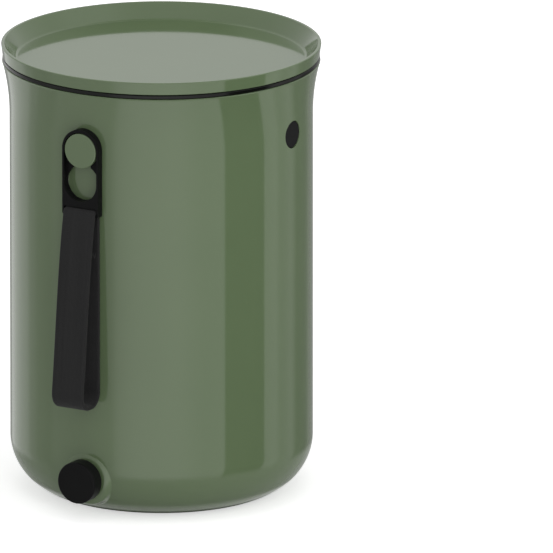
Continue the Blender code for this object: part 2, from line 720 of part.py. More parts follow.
def build_strap():
    fixed = [
        build_strap_stud(),
        build_ring("stud_gasket", STUD_SHANK_R + GAP, STUD_WASHER_R, STUD_NUT_FACE + GAP,
                   STUD_GASKET_FACE, (DARK_RUBBER, 0.6, 0.0)),
        build_nut("stud_nut", STUD_SHANK_R + GAP, STUD_WASHER_R, STUD_NUT_ACROSS, STUD_NUT_BACK,
                  STUD_NUT_FACE, (DARK_PLASTIC, 0.5, 0.0)),
    ]
    bracket = build_strap_bracket()
    webbing = build_strap_webbing()
    for item in fixed + [bracket]:
        face_front(item, FITTING_Z)
    face_front(webbing, FITTING_Z + BAR_Z, BAR_OUT)
    swivel = new_axis("axis_strap", (0, 0, FITTING_Z))
    loop = new_axis("axis_loop", (0, -BAR_OUT, FITTING_Z + BAR_Z))
    attach(loop, swivel)
    attach(bracket, swivel)
    attach(webbing, loop)


def build_all():
    clear_scene()
    build_bucket_shell()
    build_base_pad()
    build_side_plug("side_plug_right", 1)
    build_side_plug("side_plug_left", -1)
    lid_axis = new_axis("axis_lid", (0, 0, POT_TOP_Z))
    attach(build_lid_cover(), lid_axis)
    attach(build_lid_seal(), lid_axis)
    attach(build_strainer(), new_axis("axis_strainer", (0, 0, STRAINER_Z)))
    build_strap()
    build_drain()


build_all()
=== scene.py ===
import math

import bmesh
import bpy
from mathutils import Matrix, Vector


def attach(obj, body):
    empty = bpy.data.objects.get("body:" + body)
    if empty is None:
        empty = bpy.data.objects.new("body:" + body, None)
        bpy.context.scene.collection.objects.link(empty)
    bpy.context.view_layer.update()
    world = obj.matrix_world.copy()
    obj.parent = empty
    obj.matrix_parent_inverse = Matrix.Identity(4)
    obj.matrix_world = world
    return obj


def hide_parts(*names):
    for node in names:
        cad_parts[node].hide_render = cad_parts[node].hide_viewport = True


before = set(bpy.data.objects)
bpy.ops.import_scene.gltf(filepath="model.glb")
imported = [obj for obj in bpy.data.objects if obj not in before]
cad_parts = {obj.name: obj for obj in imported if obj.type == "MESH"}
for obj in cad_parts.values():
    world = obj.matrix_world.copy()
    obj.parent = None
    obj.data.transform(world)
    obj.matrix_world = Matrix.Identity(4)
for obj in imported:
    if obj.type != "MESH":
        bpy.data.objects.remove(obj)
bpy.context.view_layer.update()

MM = 0.001
GAP = 0.3 * MM
FINE = 256
MEDIUM = 96
SMALL = 48

# Camera: where the photo was taken from, and what lands in the middle of its frame
CAMERA_AZIMUTH = math.radians(30.18)
CAMERA_ELEVATION = math.radians(15.45)
CAMERA_DISTANCE = 18.4
FRAME_PIXELS = 553
METRES_PER_PIXEL = 0.7202 * MM
FRAME_RIGHT = 82.80 * MM
FRAME_UP = -9.65 * MM
AIM_Z = 165 * MM

# Pot
WALL_R = 109.2 * MM
WALL_T = 2.6 * MM
POT_TOP_Z = 317.5 * MM
FLARE_START_Z = 278 * MM
FLARE_R = 150 * MM
FOOT_ROUND_R = 40.7 * MM
FOOT_ROUND_Z = 39.6 * MM
FOOT_EDGE_Z = 1.6 * MM
FLOOR_TOP_Z = 5.4 * MM
FLOOR_RECESS_R = 76 * MM
FLOOR_RECESS_Z = 2.8 * MM
LIP_ROUND = 0.9 * MM

# Holes for the fittings in the pot's wall
FITTING_Z = 275.8 * MM
DRAIN_Z = 30.5 * MM
HOLE_START = 72.8 * MM
HOLE_END = 126.8 * MM
STUD_HOLE_R = 4.3 * MM
PLUG_HOLE_R = 10.1 * MM
BUSH_HOLE_R = 9.2 * MM
NUT_SEAT_R = 16.7 * MM
NUT_SEAT_START = 72.7 * MM
NUT_SEAT_END = 106.6 * MM

# Boss behind the drain knob
BOSS_R = 20 * MM
BOSS_FACE = 109.4 * MM
BOSS_EDGE = 5.7 * MM
BOSS_SIDE_SLOPE = 5
BOSS_SIDE_STEP = 0.05 * MM
BOSS_SIDE_STEPS = 24
BOSS_BLEND = 2 * MM
BOSS_REACH = 28 * MM
BOSS_SINK = 0.03 * MM
BOSS_BACK = 95 * MM
BOSS_BACK_SHARE = 0.72

# Strainer
STRAINER_R = 104.4 * MM
STRAINER_Z = 50 * MM
STRAINER_T = 2.4 * MM
LEG_R = 6 * MM
LEG_BOTTOM_Z = 5.7 * MM
LEG_CIRCLE_R = 62 * MM
DRAIN_HOLE_R = 3 * MM
DRAIN_HOLE_CLEARANCE = 2 * MM
FINGER_HOLE_R = 10 * MM
FINGER_HOLE_X = 38 * MM

# Strap
KEYHOLE_DROP = -24 * MM
BAR_R = 1.5 * MM
BAR_Z = -47 * MM
BAR_OUT = 113.9 * MM
WEB_HALF_W = 12.9 * MM
WEB_T = 2.8 * MM
WEB_WRAP_R = BAR_R + GAP + WEB_T / 2
WEB_EDGE = 1.2 * MM
WEB_BOTTOM = -140.6 * MM
WEB_REAR_ROUND = 9.4 * MM
WEB_FRONT_ROUND = 10.6 * MM
WEB_FRONT_OUT = 20.1 * MM
WEB_TOP_LEAN = math.radians(11.5)
WEB_BOTTOM_LEAN = math.radians(7.4)
SEAM_Z = -30 * MM
SEAM_HALF_W = 10.8 * MM
SEAM_REACH = 2.4 * MM
SEAM_STITCHES = 18
THREAD_R = 0.26 * MM

# Drain knob: places along its core, in millimetres out from the pot's axis
INLET_AT = 96.2
OUTLET_AT = 116.9
CLIP_AT = 90.1
O_RINGS_AT = {"knob_o_ring_outer": 108.2, "knob_o_ring_inner": 102.2}

# Studio
AMBIENT = 0.43
FLOOR_DROP = -0.05 * MM
GLOSSY_TABLE_R = 0.145
GLOSSY_TABLE_EDGE = 0.185


# Mesh helpers

def arc(centre, radius, start, end, steps):
    """Points on an arc in degrees, both ends included."""
    points = []
    for i in range(steps + 1):
        angle = math.radians(start + (end - start) * i / steps)
        points.append((centre[0] + radius * math.cos(angle), centre[1] + radius * math.sin(angle)))
    return points


def soften(corners, closed=False):
    """Round the corners of an outline; each corner is (x, y) or (x, y, radius)."""
    most_of_side = 0.49
    degrees_per_step = 11
    points = []
    count = len(corners)
    for i, corner in enumerate(corners):
        here = Vector(corner[:2])
        radius = corner[2] if len(corner) > 2 else 0
        if not radius or (not closed and i in (0, count - 1)):
            points.append(tuple(here))
            continue
        back = Vector(corners[i - 1][:2]) - here
        ahead = Vector(corners[(i + 1) % count][:2]) - here
        half = back.angle(ahead) / 2
        reach = min(radius / math.tan(half), most_of_side * back.length, most_of_side * ahead.length)
        radius = reach * math.tan(half)
        back.normalize()
        ahead.normalize()
        centre = here + (back + ahead).normalized() * (radius / math.sin(half))
        start = here + back * reach - centre
        end = here + ahead * reach - centre
        turn = math.atan2(start.cross(end), start.dot(end))
        steps = max(2, math.ceil(abs(math.degrees(turn)) / degrees_per_step))
        for k in range(steps + 1):
            swung = Matrix.Rotation(turn * k / steps, 2) @ start
            points.append(tuple(centre + swung))
    return points


def mm(points):
    """Outline points written in millimetres, as metres.

    A turned outline's points are (radius, height). For a fitting in the wall, height is the
    distance out from the pot's axis.
    """
    return [tuple(value * MM for value in point) for point in points]


def bridge(bm, low, high, steps):
    """Faces between two rows of vertices; a row may be one vertex repeated."""
    for k in range(steps):
        n = (k + 1) % len(low)
        corners = []
        for vert in (low[k], low[n], high[n], high[k]):
            if vert not in corners:
                corners.append(vert)
        if len(corners) > 2:
            bm.faces.new(corners)


def turned(profile, steps=FINE, closed=False, sweep=math.tau):
    """Spin a profile of (radius, height) points round Z."""
    bm = bmesh.new()
    full = sweep == math.tau
    columns = steps if full else steps + 1
    rows = []
    for radius, height in profile:
        if not radius:
            rows.append([bm.verts.new((0, 0, height))] * columns)
            continue
        row = []
        for k in range(columns):
            angle = sweep * k / steps
            row.append(bm.verts.new((radius * math.cos(angle), radius * math.sin(angle), height)))
        rows.append(row)
    pairs = list(zip(rows, rows[1:]))
    if closed:
        pairs.append((rows[-1], rows[0]))
    for low, high in pairs:
        bridge(bm, low, high, steps)
    if not full:
        for k in (0, steps):
            bm.faces.new([row[k] for row in rows])
    bmesh.ops.recalc_face_normals(bm, faces=bm.faces)
    return bm


def prism(outline, low, high):
    """Extrude a flat outline of (x, y) points from low to high along Z."""
    bm = bmesh.new()
    base = bm.faces.new([bm.verts.new((x, y, low)) for x, y in outline])
    grown = bmesh.ops.extrude_face_region(bm, geom=[base])
    top = [part for part in grown["geom"] if isinstance(part, bmesh.types.BMVert)]
    bmesh.ops.translate(bm, verts=top, vec=(0, 0, high - low))
    bmesh.ops.recalc_face_normals(bm, faces=bm.faces)
    return bm


def rod(radius, low, high, steps=SMALL):
    return turned([(0, low), (radius, low), (radius, high), (0, high)], steps)


def placed(bm, matrix):
    bmesh.ops.transform(bm, matrix=matrix, verts=bm.verts)
    return bm


def moved(bm, x=0.0, y=0.0, z=0.0):
    return placed(bm, Matrix.Translation((x, y, z)))


def to_front(height, out=0.0):
    """From a piece's own axes, with +Z outward, to the front (-Y) at a height."""
    return Matrix.Translation((0, -out, height)) @ Matrix.Rotation(math.pi / 2, 4, "X")


def to_side(height, sign):
    """From a piece's own axes, with +Z outward, to the side (+X or -X) at a height."""
    return Matrix.Translation((0, 0, height)) @ Matrix.Rotation(sign * math.pi / 2, 4, "Y")


def mesh_of(bm, name="part"):
    mesh = bpy.data.meshes.new(name)
    bm.to_mesh(mesh)
    bm.free()
    return mesh


def combined(bm, tool, operation):
    """The result of cutting one closed shape from another, or of joining them."""
    merge_distance = 0.002 * MM
    items = []
    for shape in (bm, tool):
        item = bpy.data.objects.new("shape", mesh_of(shape))
        bpy.context.scene.collection.objects.link(item)
        items.append(item)
    body, cutter = items
    modifier = body.modifiers.new("combine", "BOOLEAN")
    modifier.operation = operation
    modifier.solver = "EXACT"
    modifier.object = cutter
    bpy.context.view_layer.update()
    depsgraph = bpy.context.evaluated_depsgraph_get()
    result = bpy.data.meshes.new_from_object(body.evaluated_get(depsgraph))
    joined = bmesh.new()
    joined.from_mesh(result)
    bmesh.ops.remove_doubles(joined, verts=joined.verts, dist=merge_distance)
    bmesh.ops.dissolve_degenerate(joined, edges=joined.edges, dist=merge_distance)
    bpy.data.meshes.remove(result)
    for item in items:
        mesh = item.data
        bpy.data.objects.remove(item, do_unlink=True)
        bpy.data.meshes.remove(mesh)
    return joined


def cut(bm, *tools):
    for tool in tools:
        bm = combined(bm, tool, "DIFFERENCE")
    return bm


def join(bm, *tools):
    for tool in tools:
        bm = combined(bm, tool, "UNION")
    return bm


def piece(name, bm, body, material, nodes, sharp=35, bevel=0.0):
    """Make a shown piece that rides on a body and stands for CAD nodes."""
    item = bpy.data.objects.new(name, mesh_of(bm, name))
    bpy.context.scene.collection.objects.link(item)
    item.data.materials.append(material)
    item.data.shade_smooth()
    if bevel:
        rounding = item.modifiers.new("rounding", "BEVEL")
        rounding.width = bevel
        rounding.segments = 3
        rounding.limit_method = "ANGLE"
        rounding.angle_limit = math.radians(sharp)
        rounding.use_clamp_overlap = True
    else:
        item.data.set_sharp_from_angle(angle=math.radians(sharp))
    shading = item.modifiers.new("shading", "WEIGHTED_NORMAL")
    shading.keep_sharp = True
    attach(item, body)
    if nodes:
        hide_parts(*nodes)
    return item


# Node helpers

def add(tree, kind, **settings):
    made = tree.nodes.new(kind)
    for key, value in settings.items():
        setattr(made, key, value)
    return made


def feed(tree, socket, value):
    if isinstance(value, bpy.types.NodeSocket):
        tree.links.new(value, socket)
    else:
        socket.default_value = value


def maths(tree, operation, *values):
    made = add(tree, "ShaderNodeMath", operation=operation)
    for socket, value in zip(made.inputs, values):
        feed(tree, socket, value)
    return made.outputs[0]


def mapped(tree, value, low, high, new_low, new_high, smooth=False):
    made = add(tree, "ShaderNodeMapRange")
    made.interpolation_type = "SMOOTHSTEP" if smooth else "LINEAR"
    for socket, entry in zip(made.inputs, (value, low, high, new_low, new_high)):
        feed(tree, socket, entry)
    return made.outputs[0]


def noise(tree, place, scale, detail=2.0, roughness=0.5):
    made = add(tree, "ShaderNodeTexNoise")
    feed(tree, made.inputs["Vector"], place)
    feed(tree, made.inputs["Scale"], scale)
    feed(tree, made.inputs["Detail"], detail)
    feed(tree, made.inputs["Roughness"], roughness)
    return made.outputs["Fac"]


def spread(tree, value, low, high):
    """Spread a noise, whose values lie mostly between 0.3 and 0.7, from low to high."""
    return mapped(tree, value, 0.3, 0.7, low, high)


def mixed_colour(tree, factor, first, second):
    """A mix of two colours, each (red, green, blue)."""
    made = add(tree, "ShaderNodeMix", data_type="RGBA")
    feed(tree, made.inputs["Factor"], factor)
    feed(tree, made.inputs[6], (*first, 1))
    feed(tree, made.inputs[7], (*second, 1))
    return made.outputs[2]


def mixed_level(tree, factor, first, second):
    made = add(tree, "ShaderNodeMix", data_type="FLOAT")
    feed(tree, made.inputs[0], factor)
    feed(tree, made.inputs[2], first)
    feed(tree, made.inputs[3], second)
    return made.outputs[0]


def mixed_shader(tree, factor, first, second):
    made = add(tree, "ShaderNodeMixShader")
    feed(tree, made.inputs[0], factor)
    feed(tree, made.inputs[1], first.outputs[0])
    feed(tree, made.inputs[2], second.outputs[0])
    return made


def bump(tree, height, strength, distance):
    made = add(tree, "ShaderNodeBump")
    feed(tree, made.inputs["Height"], height)
    feed(tree, made.inputs["Strength"], strength)
    feed(tree, made.inputs["Distance"], distance)
    return made.outputs["Normal"]


def new_material(name):
    material = bpy.data.materials.new(name)
    material.use_nodes = True
    tree = material.node_tree
    place = add(tree, "ShaderNodeTexCoord").outputs["Object"]
    return material, tree, tree.nodes["Principled BSDF"], place


# Materials

def moulded_plastic(name, dark, light, roughness, unevenness, peel, peel_scale, specular=0.5):
    """Moulded plastic: slight colour drift, uneven gloss and the faint waviness of the mould."""
    material, tree, shader, place = new_material(name)
    drift = noise(tree, place, scale=14, detail=3)
    feed(tree, shader.inputs["Base Color"], mixed_colour(tree, spread(tree, drift, 0, 1), dark, light))
    gloss = noise(tree, place, scale=60, detail=4, roughness=0.6)
    feed(tree, shader.inputs["Roughness"],
         spread(tree, gloss, roughness - unevenness, roughness + unevenness))
    wave = noise(tree, place, peel_scale)
    feed(tree, shader.inputs["Normal"], bump(tree, wave, strength=1.0, distance=peel))
    shader.inputs["Specular IOR Level"].default_value = specular
    return material


def webbing_material():
    """Woven webbing from the map of metres across and along the band."""
    rib_pitch = 1.05 * MM
    pick_pitch = 1.5 * MM
    rib_share = 0.62
    pick_share = 0.38
    material, tree, shader, place = new_material("black_webbing_fine")
    flat = add(tree, "ShaderNodeUVMap", uv_map="weave").outputs[0]
    split = add(tree, "ShaderNodeSeparateXYZ")
    feed(tree, split.inputs[0], flat)
    across, along = split.outputs[0], split.outputs[1]
    rib = maths(tree, "COSINE", maths(tree, "MULTIPLY", across, math.tau / rib_pitch))
    column = maths(tree, "FLOOR", maths(tree, "DIVIDE", across, rib_pitch))
    odd_column = maths(tree, "MODULO", column, 2.0)
    shift = maths(tree, "MULTIPLY", odd_column, math.pi)
    pick_phase = maths(tree, "MULTIPLY", along, math.tau / pick_pitch)
    pick = maths(tree, "COSINE", maths(tree, "ADD", pick_phase, shift))
    weave = maths(tree, "ADD", maths(tree, "MULTIPLY", rib, rib_share),
                  maths(tree, "MULTIPLY", pick, pick_share))
    fuzz = noise(tree, place, scale=2600, detail=3, roughness=0.7)
    stripe_place = add(tree, "ShaderNodeMapping")
    feed(tree, stripe_place.inputs["Vector"], flat)
    stripe_place.inputs["Scale"].default_value = (420, 6, 1)
    stripes = noise(tree, stripe_place.outputs[0], scale=1.0, roughness=0.6)
    wear = maths(tree, "ADD", spread(tree, stripes, 0, 0.35), spread(tree, fuzz, 0, 0.15))
    # The colour is lighter on the weave's raised ribs and darker in its hollows, which is painted shade;
    # the streaks and fuzz are the yarn's own uneven tone.
    painted_weave_shade_and_tone = maths(tree, "ADD", mapped(tree, weave, -1, 1, 0, 0.5), wear)
    feed(tree, shader.inputs["Base Color"],
         mixed_colour(tree, painted_weave_shade_and_tone, (0.0084, 0.0084, 0.0086), (0.0215, 0.0215, 0.0217)))
    height = maths(tree, "ADD", weave, maths(tree, "MULTIPLY", fuzz, 0.5))
    feed(tree, shader.inputs["Normal"], bump(tree, height, strength=0.9, distance=0.09 * MM))
    feed(tree, shader.inputs["Roughness"], spread(tree, fuzz, 0.72, 0.88))
    shader.inputs["Specular IOR Level"].default_value = 0.25
    shader.inputs["Sheen Weight"].default_value = 0.06
    shader.inputs["Sheen Roughness"].default_value = 0.45
    return material


def thread_material():
    """Twisted sewing thread."""
    material, tree, shader, place = new_material("black_thread_fine")
    twist = noise(tree, place, scale=3500)
    feed(tree, shader.inputs["Base Color"],
         mixed_colour(tree, twist, (0.016, 0.016, 0.016), (0.034, 0.034, 0.034)))
    feed(tree, shader.inputs["Normal"], bump(tree, twist, strength=0.6, distance=0.05 * MM))
    shader.inputs["Roughness"].default_value = 0.6
    return material


def steel_material():
    """Spring steel with an uneven, finely rubbed face."""
    material, tree, shader, place = new_material("steel_fine")
    rubbed = noise(tree, place, scale=1800, detail=4, roughness=0.7)
    feed(tree, shader.inputs["Base Color"],
         mixed_colour(tree, rubbed, (0.48, 0.48, 0.47), (0.60, 0.60, 0.59)))
    feed(tree, shader.inputs["Roughness"], spread(tree, rubbed, 0.25, 0.4))
    feed(tree, shader.inputs["Normal"], bump(tree, rubbed, strength=0.4, distance=0.01 * MM))
    shader.inputs["Metallic"].default_value = 1.0
    return material


GREEN_PLASTIC = moulded_plastic(
    "green_plastic_fine", dark=(0.121, 0.172, 0.089), light=(0.127, 0.178, 0.093),
    roughness=0.08, unevenness=0.012, peel=0.0005 * MM, peel_scale=160)
SATIN_BLACK = moulded_plastic(
    "black_plastic_fine", dark=(0.0052, 0.0053, 0.0054), light=(0.0068, 0.0069, 0.0070),
    roughness=0.42, unevenness=0.05, peel=0.004 * MM, peel_scale=900, specular=0.08)
GLOSS_BLACK = moulded_plastic(
    "black_seal_fine", dark=(0.0045, 0.0052, 0.0040), light=(0.0065, 0.0074, 0.0058),
    roughness=0.16, unevenness=0.03, peel=0.001 * MM, peel_scale=300, specular=0.22)
RUBBER = moulded_plastic(
    "black_rubber_fine", dark=(0.0050, 0.0052, 0.0055), light=(0.0070, 0.0073, 0.0076),
    roughness=0.36, unevenness=0.06, peel=0.004 * MM, peel_scale=700, specular=0.1)
WEBBING = webbing_material()
THREAD = thread_material()
STEEL = steel_material()


# Pot

def flare_offset(z):
    rise = max(0.0, z - FLARE_START_Z)
    return FLARE_R - math.sqrt(FLARE_R ** 2 - rise ** 2)


def outer_radius(z):
    """The wall's outer radius at a height, foot and flare included."""
    if z < FOOT_ROUND_Z:
        return WALL_R - FOOT_ROUND_R + math.sqrt(FOOT_ROUND_R ** 2 - (FOOT_ROUND_Z - z) ** 2)
    return WALL_R + flare_offset(z)


def outer_lean(z):
    """How far the outside's normal tips up at a height, in radians."""
    if z < FOOT_ROUND_Z:
        return math.asin((z - FOOT_ROUND_Z) / FOOT_ROUND_R)
    if z > FLARE_START_Z:
        return -math.asin((z - FLARE_START_Z) / FLARE_R)
    return 0


def foot_round(radius, lowest_z, steps):
    start = -math.degrees(math.asin((FOOT_ROUND_Z - lowest_z) / radius))
    return arc((WALL_R - FOOT_ROUND_R, FOOT_ROUND_Z), radius, start, 0, steps)


def flared_wall(inset, top_z, steps):
    """The wall's outline above the foot, straight and then flared, set in from the outside."""
    bands = 8
    straight = FLARE_START_Z - FOOT_ROUND_Z
    points = [(WALL_R - inset, FOOT_ROUND_Z + straight * i / bands) for i in range(1, bands)]
    for i in range(steps + 1):
        z = FLARE_START_Z + (top_z - FLARE_START_Z) * i / steps
        points.append((WALL_R - inset + flare_offset(z), z))
    return points


def boss_height(x, z):
    """How far out the flat boss behind the drain knob stands, faired into the wall."""
    span = math.hypot(x, z - DRAIN_Z)
    wall = math.sqrt(outer_radius(z) ** 2 - x * x)
    edge_start = BOSS_R - BOSS_EDGE
    if span <= edge_start:
        face = BOSS_FACE
    elif span <= BOSS_R:
        face = BOSS_FACE - BOSS_EDGE + math.sqrt(BOSS_EDGE ** 2 - (span - edge_start) ** 2)
    else:
        face = BOSS_FACE - BOSS_EDGE - (span - BOSS_R) * BOSS_SIDE_SLOPE
    overlap = max(BOSS_BLEND - abs(wall - face), 0) / BOSS_BLEND
    return max(wall, face) + overlap ** 2 * BOSS_BLEND / 4 - BOSS_SINK


def boss_spans():
    """Radii of the boss's rings: flat face, rounded edge, steep side and fade into the wall."""
    edge_turn = 6
    fade_steps = 12
    spans = [0, 6 * MM, 12 * MM]
    spans += [BOSS_R - BOSS_EDGE * (1 - math.sin(math.radians(a))) for a in range(0, 90, edge_turn)]
    spans += [BOSS_R + BOSS_SIDE_STEP * i for i in range(1, BOSS_SIDE_STEPS + 1)]
    spans += [BOSS_R + (BOSS_REACH - BOSS_R) * (i / fade_steps) ** 1.5 for i in range(4, fade_steps + 1)]
    return spans


def boss_shape():
    """A closed shape whose front is the boss, and whose skirt dips just under the wall."""
    steps = 2 * MEDIUM
    bm = bmesh.new()
    rows = []
    for span in boss_spans():
        row = []
        for k in range(steps if span else 1):
            angle = math.tau * k / steps
            x = span * math.cos(angle)
            z = DRAIN_Z + span * math.sin(angle)
            row.append(bm.verts.new((x, -boss_height(x, z), z)))
        rows.append(row if span else row * steps)
    back = bm.verts.new((0, -BOSS_BACK, DRAIN_Z))
    back_row = []
    for vert in rows[-1]:
        x = vert.co.x * BOSS_BACK_SHARE
        z = DRAIN_Z + (vert.co.z - DRAIN_Z) * BOSS_BACK_SHARE
        back_row.append(bm.verts.new((x, -BOSS_BACK, z)))
    rows += [back_row, [back] * steps]
    for low, high in zip(rows, rows[1:]):
        bridge(bm, low, high, steps)
    bmesh.ops.recalc_face_normals(bm, faces=bm.faces)
    return bm


def true_normals(item):
    """Give the turned outside of the pot its exact normals, also beside its holes."""
    lowest_z = 2 * MM
    highest_z = POT_TOP_Z - LIP_ROUND
    nearness = 0.02 * MM
    least_match = 0.97
    mesh = item.data
    normals = []
    for polygon in mesh.polygons:
        for index in polygon.loop_indices:
            point = mesh.vertices[mesh.loops[index].vertex_index].co
            span = math.hypot(point.x, point.y)
            normal = Vector((0, 0, 0))
            if lowest_z < point.z < highest_z and abs(span - outer_radius(point.z)) < nearness:
                lean = outer_lean(point.z)
                exact = Vector((point.x / span * math.cos(lean), point.y / span * math.cos(lean),
                                math.sin(lean)))
                if exact.dot(polygon.normal) > least_match:
                    normal = exact
            normals.append(normal)
    mesh.normals_split_custom_set(normals)


def build_pot_shell():
    lip_r = WALL_R + flare_offset(POT_TOP_Z)
    wall_top_z = POT_TOP_Z - LIP_ROUND
    above_z = POT_TOP_Z + LIP_ROUND
    outside = [(0, FLOOR_RECESS_Z), (FLOOR_RECESS_R, FLOOR_RECESS_Z), (FLOOR_RECESS_R, FOOT_EDGE_Z)]
    outside += foot_round(FOOT_ROUND_R, FOOT_EDGE_Z, steps=22)
    outside += flared_wall(0, wall_top_z, steps=12)
    outside += arc((lip_r - LIP_ROUND, wall_top_z), LIP_ROUND, 20, 90, steps=6)
    outside += [(0, POT_TOP_Z)]
    inside = [(0, FLOOR_TOP_Z)]
    inside += foot_round(FOOT_ROUND_R - WALL_T, FLOOR_TOP_Z, steps=14)
    inside += flared_wall(WALL_T, wall_top_z, steps=8)
    inside += [(lip_r - WALL_T + LIP_ROUND, above_z), (0, above_z)]
    plug_holes = [placed(rod(PLUG_HOLE_R, HOLE_START, HOLE_END, MEDIUM), to_side(FITTING_Z, sign))
                  for sign in (-1, 1)]
    shell = cut(
        join(turned(outside), boss_shape()),
        turned(inside),
        placed(rod(NUT_SEAT_R, NUT_SEAT_START, NUT_SEAT_END, MEDIUM), to_front(DRAIN_Z)),
        placed(rod(BUSH_HOLE_R, HOLE_START, HOLE_END, MEDIUM), to_front(DRAIN_Z)),
        placed(rod(STUD_HOLE_R, HOLE_START, HOLE_END), to_front(FITTING_Z)),
        *plug_holes)
    item = piece("pot_shell", shell, "pot", GREEN_PLASTIC, ["bucket_shell"])
    item.modifiers.remove(item.modifiers["shading"])
    true_normals(item)


def build_pot_trim():
    """The pad under the foot and the plugs in the sides."""
    pad_r, step_r = 77, 75.3
    pad_top, step_top = 1.3, 2.5
    pad = mm(soften([(0, 0), (pad_r, 0, 0.4), (pad_r, pad_top, 0.15), (step_r, pad_top),
                     (step_r, step_top, 0.2), (0, step_top)]))
    piece("foot_pad", turned(pad), "pot", RUBBER, ["base_pad"])
    plug_r, flange_r, hollow_r = 9.8, 13.5, 7.5
    face, hollow, flange, back = 108.7, 106, 105, 102.6
    for name, sign in (("side_plug_right", 1), ("side_plug_left", -1)):
        profile = mm(soften([
            (0, face), (plug_r, face, 0.5), (plug_r, flange), (flange_r, flange, 0.3),
            (flange_r, back, 0.3), (hollow_r, back), (hollow_r, hollow), (0, hollow)]))
        plug = placed(turned(profile, MEDIUM), to_side(FITTING_Z, sign))
        piece(name + "_fine", plug, "pot", RUBBER, [name])


# Lid

def build_lid():
    dish_r, dish_z, underside_z = 104.6, 318.6, 316.2
    rim_in, rim_out, rim_z = 112.8, 115.2, 330
    skirt_in, skirt_out, skirt_z = 111.9, 114, 320.9
    groove_r, groove_z = 112.4, 326.2
    neck_in, neck_out, neck_z = 105.4, 107.8, 306.5
    cover = mm(soften([
        (0, dish_z), (dish_r, dish_z, 3), (rim_in, rim_z, 0.5), (rim_out, rim_z, 0.7),
        (skirt_out, skirt_z, 0.5), (skirt_in, skirt_z, 0.3), (groove_r, groove_z, 0.6),
        (neck_out, skirt_z, 0.6), (neck_out, neck_z, 0.6), (neck_in, neck_z, 0.6),
        (neck_in, underside_z, 1), (0, underside_z)]))
    piece("lid_dish", turned(cover), "lid", GREEN_PLASTIC, ["lid_cover"])
    lip_in, lip_out, lip_z = 108.1, 108.95, 309
    flange_r, flange_low, flange_top = 114.2, 317.8, 320.5
    seal = mm(soften([
        (lip_in, lip_z, 0.2), (lip_in, flange_top), (flange_r, flange_top, 0.6),
        (flange_r, flange_low, 0.6), (111, flange_low, 0.3), (110.7, 316.9, 0.3),
        (lip_out, lip_z, 0.2)], closed=True))
    piece("lid_ring", turned(seal, closed=True), "lid", GLOSS_BLACK, ["lid_seal"])


# Strainer

def leg_centres():
    turns = [math.tau * (i + 0.5) / 4 for i in range(4)]
    return [(LEG_CIRCLE_R * math.cos(t), LEG_CIRCLE_R * math.sin(t)) for t in turns]


def strainer_holes():
    """Drain holes in rings, clear of the legs and the finger holes."""
    first_ring, ring_step = 14, 19
    keep_out = [(*centre, LEG_R) for centre in leg_centres()]
    keep_out += [(sign * FINGER_HOLE_X, 0, FINGER_HOLE_R) for sign in (-1, 1)]
    centres = []
    for ring in range(5):
        radius = (first_ring + ring_step * ring) * MM
        count = 4 + 4 * ring
        for i in range(count):
            angle = math.tau * i / count
            x, y = radius * math.cos(angle), radius * math.sin(angle)
            if all(math.hypot(x - kx, y - ky) > kr + DRAIN_HOLE_R + DRAIN_HOLE_CLEARANCE
                   for kx, ky, kr in keep_out):
                centres.append((x, y))
    return centres


def build_strainer():
    top = STRAINER_Z + STRAINER_T
    edge = 0.5 * MM
    leg_top = STRAINER_Z + edge
    plate = turned(soften([(0, STRAINER_Z), (STRAINER_R, STRAINER_Z, edge), (STRAINER_R, top, edge),
                           (0, top)]))
    for x, y in leg_centres():
        leg = turned(soften([(0, LEG_BOTTOM_Z), (LEG_R, LEG_BOTTOM_Z, 0.8 * MM), (LEG_R, leg_top),
                             (0, leg_top)]), SMALL)
        plate = join(plate, moved(leg, x, y))
    wanted = [(x, y, DRAIN_HOLE_R, SMALL // 2) for x, y in strainer_holes()]
    wanted += [(sign * FINGER_HOLE_X, 0, FINGER_HOLE_R, SMALL) for sign in (-1, 1)]
    holes = bmesh.new()
    for x, y, radius, steps in wanted:
        hole = rod(radius, STRAINER_Z - STRAINER_T, top + STRAINER_T, steps)
        mesh = mesh_of(moved(hole, x, y))
        holes.from_mesh(mesh)
        bpy.data.meshes.remove(mesh)
    piece("strainer_plate_fine", cut(plate, holes), "strainer_plate", SATIN_BLACK,
          ["strainer"])


# Strap

def build_stud():
    shank_r, neck_r, head_r = 4, 6.2, 12.9
    inner_end, shoulder, head_back, head_edge, crown = 96.5, 109.1, 112.3, 115.9, 116.2
    profile = mm(soften([
        (0, inner_end), (shank_r, inner_end, 0.4), (shank_r, shoulder), (neck_r, shoulder, 0.3),
        (neck_r, head_back), (head_r, head_back, 0.4), (head_r, head_edge, 0.9), (6.45, 116.13),
        (0, crown)]))
    stud = placed(turned(profile, MEDIUM), to_front(FITTING_Z))
    piece("stud_fine", stud, "pot", GREEN_PLASTIC, ["strap_stud"])


def plate_outline():
    """The keyhole plate's outline: a round top and two small round corners below."""
    top_y, top_r = 0.9 * MM, 14.8 * MM
    corner_x, corner_y, corner_r = 12.8 * MM, -46.5 * MM, 2 * MM
    outline = arc((0, top_y), top_r, 0, 180, steps=72)
    outline += arc((-corner_x, corner_y), corner_r, 180, 270, steps=8)
    outline += arc((corner_x, corner_y), corner_r, 270, 360, steps=8)
    return outline


def stadium(half_width, bottom_y):
    """A slot's outline, from the stud's axis down to bottom_y."""
    return (arc((0, 0), half_width, 0, 180, SMALL) +
            arc((0, bottom_y), half_width, 180, 360, SMALL))


